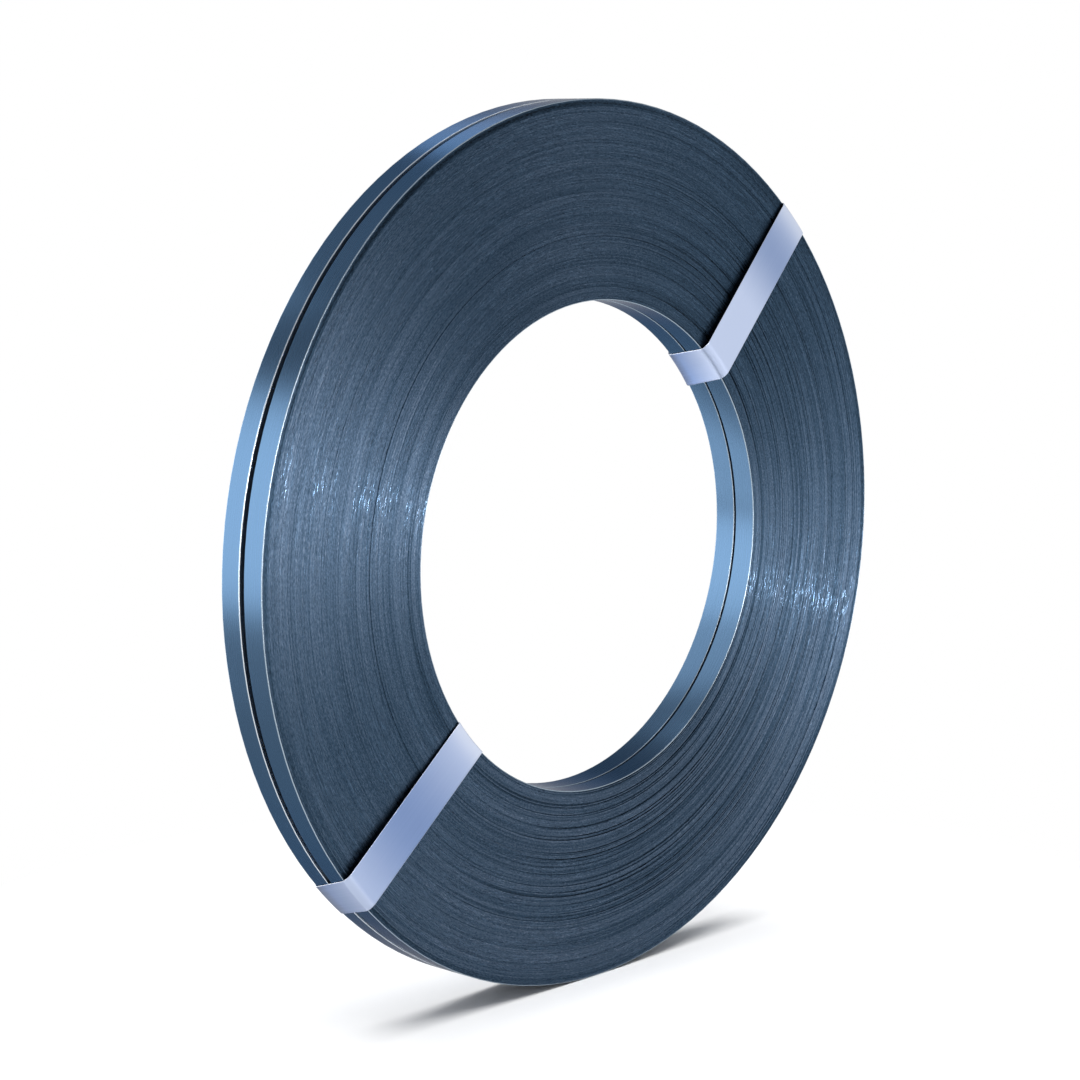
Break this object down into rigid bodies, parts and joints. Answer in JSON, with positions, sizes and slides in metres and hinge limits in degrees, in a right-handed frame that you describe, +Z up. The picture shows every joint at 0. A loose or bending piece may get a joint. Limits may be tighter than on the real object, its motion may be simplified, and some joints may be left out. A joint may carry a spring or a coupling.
{
  "type": "roll of steel strapping",
  "caption": "Ribbon-wound coils of blued steel strap side by side on one axis, with an open bore, bound together by pale steel tie straps looped round their section.",
  "frame": {"origin": "on the floor under the middle of the roll's width", "axes": "+Z up, -Y out of the front end along the roll's axis, +X to the right seen from the front"},
  "size_m": [0.7299, 0.0571, 0.73],
  "materials": {
    "blued_strap": "blued cold-rolled strap, glossy on its flats and finely lined on the wound ends",
    "tie_strap": "pale satin steel strap with a faint blue tint"
  },
  "bodies": {
    "root": {"front_coil": "blued_strap", "back_coil": "blued_strap", "upper_tie": "tie_strap", "lower_tie": "tie_strap"}
  },
  "joints": []
}
